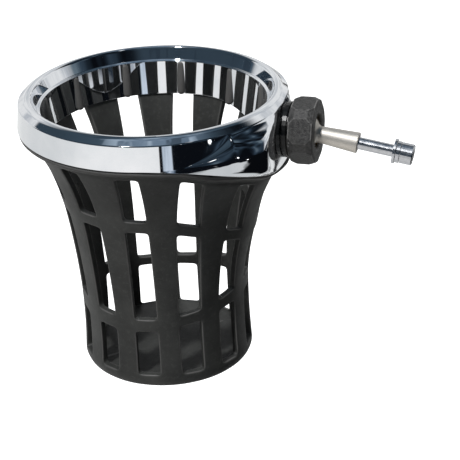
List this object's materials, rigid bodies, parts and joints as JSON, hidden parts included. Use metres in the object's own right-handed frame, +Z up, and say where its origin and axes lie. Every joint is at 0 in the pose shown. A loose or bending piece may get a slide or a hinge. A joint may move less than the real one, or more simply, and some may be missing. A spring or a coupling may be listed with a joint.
{
  "type": "handlebar drink holder",
  "caption": "Drink holder for a handlebar: a slotted, flared rubber basket in a chrome ring, carried by a lockable ball joint and a bolted stem.",
  "frame": {"origin": "centre of the basket's inside floor, where a drink stands", "axes": "+Z up along the basket's and the ring's axis; +X from that axis through the boss to the ball joint and its stem; -Y is the side towards the viewer"},
  "size_m": [0.1634, 0.1122, 0.1206],
  "materials": {
    "chrome": "mirror-polished chrome plate",
    "rubber": "satin moulded rubber with a slightly mottled surface",
    "black_nylon": "matt, finely pebbled",
    "blasted_aluminium": "bead blasted",
    "zinc_steel": "bright zinc plate",
    "black_steel": "black oxide, satin",
    "seat_plastic": "smooth, natural colour",
    "brass": "turned"
  },
  "bodies": {
    "bar_mount": {"clamp_bolt": "zinc_steel", "flat_washer": "zinc_steel", "lock_washer": "zinc_steel"},
    "stem": {"ball_stem": "blasted_aluminium"},
    "ball_cup": {"ball_seat": "seat_plastic"},
    "holder": {"holder_ring": "chrome", "basket": "rubber", "joint_socket": "black_steel"},
    "press_ring": {"compression_ring": "brass"},
    "knob": {"knob": "black_nylon"}
  },
  "joints": [
    {"name": "stem_swivel", "type": "hinge", "parent": "bar_mount", "child": "stem", "pos_m": [0.061, 0, 0.1022], "axis": [0.9863, 0, -0.165], "range_deg": [-90, 90]},
    {"name": "ball_tilt", "type": "hinge", "parent": "stem", "child": "ball_cup", "pos_m": [0.061, 0, 0.1022], "axis": [0, 1, 0], "range_deg": [-8.5, 27.5]},
    {"name": "ball_roll", "type": "hinge", "parent": "ball_cup", "child": "holder", "pos_m": [0.061, 0, 0.1022], "axis": [1, 0, 0], "range_deg": [-90, 90]},
    {"name": "ring_slide", "type": "slide", "parent": "holder", "child": "press_ring", "axis": [1, 0, 0], "range_m": [0, 0.0015]},
    {"name": "knob_turn", "type": "hinge", "parent": "press_ring", "child": "knob", "pos_m": [0.061, 0, 0.1022], "axis": [1, 0, 0], "range_deg": [0, 360]}
  ],
  "couplings": [
    {"joint": "knob_turn", "follows": "ring_slide", "rad_per_m": 4188.8}
  ]
}
